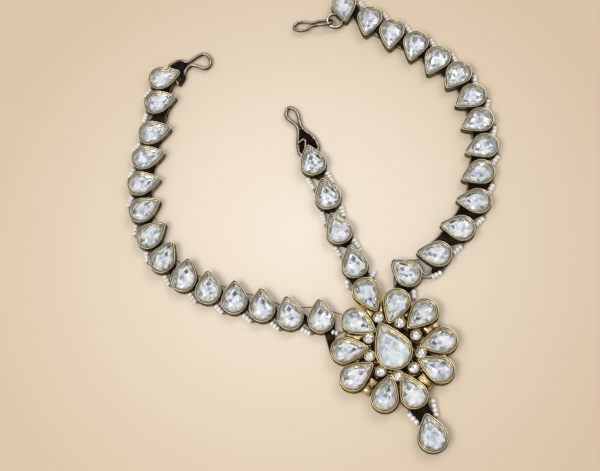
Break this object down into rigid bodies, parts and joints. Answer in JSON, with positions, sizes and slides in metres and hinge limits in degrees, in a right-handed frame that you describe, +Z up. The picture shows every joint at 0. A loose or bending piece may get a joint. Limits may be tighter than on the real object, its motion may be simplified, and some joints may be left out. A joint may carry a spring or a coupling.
{
  "type": "maang tikka",
  "caption": "Head ornament of foil-backed pear stones in bezel cups: two side strands and a centre strand meet at a flower pendant with a drop, each strand ending in a wire hook.",
  "frame": {"origin": "centre of the flower's flat back, on the surface that the ornament lies on", "axes": "+Z up, out of the stones' tables; +Y from the flower along the centre strand to its hook; +X towards the right strand"},
  "size_m": [0.1485, 0.1862, 0.0068],
  "materials": {
    "setting_metal": "antique champagne plating, worn bright on the rims and dark in the recesses",
    "flower_metal": "antique gold plating, dark in the recesses",
    "stone": "clear cut glass backed with silver foil",
    "seed_beads": "pearl white",
    "thread": "dark twisted thread",
    "wire": "oxidised antique wire"
  },
  "bodies": {
    "root": {"accent_stones": "stone", "centre_beads": "seed_beads", "centre_hook": "wire", "centre_left_thread": "thread", "centre_right_thread": "thread", "centre_setting_1": "setting_metal", "centre_setting_2": "setting_metal", "centre_setting_3": "setting_metal", "centre_setting_4": "setting_metal", "centre_stones": "stone", "drop_beads": "seed_beads", "drop_setting": "setting_metal", "drop_stone": "stone", "drop_thread": "thread", "flower_centre_stone": "stone", "flower_setting": "flower_metal", "left_beads": "seed_beads", "left_hook": "wire", "left_outer_thread": "thread", "left_setting_01": "setting_metal", "left_setting_02": "setting_metal", "left_setting_03": "setting_metal", "left_setting_04": "setting_metal", "left_setting_05": "setting_metal", "left_setting_06": "setting_metal", "left_setting_07": "setting_metal", "left_setting_08": "setting_metal", "left_setting_09": "setting_metal", "left_setting_10": "setting_metal", "left_setting_11": "setting_metal", "left_setting_12": "setting_metal", "left_setting_13": "setting_metal", "left_setting_14": "setting_metal", "left_stones": "stone", "left_tip_thread": "thread", "petal_stones": "stone", "right_beads": "seed_beads", "right_hook": "wire", "right_outer_thread": "thread", "right_ring": "wire", "right_setting_01": "setting_metal", "right_setting_02": "setting_metal", "right_setting_03": "setting_metal", "right_setting_04": "setting_metal", "right_setting_05": "setting_metal", "right_setting_06": "setting_metal", "right_setting_07": "setting_metal", "right_setting_08": "setting_metal", "right_setting_09": "setting_metal", "right_setting_10": "setting_metal", "right_setting_11": "setting_metal", "right_setting_12": "setting_metal", "right_setting_13": "setting_metal", "right_setting_14": "setting_metal", "right_stones": "stone", "right_tip_thread": "thread"}
  },
  "joints": []
}
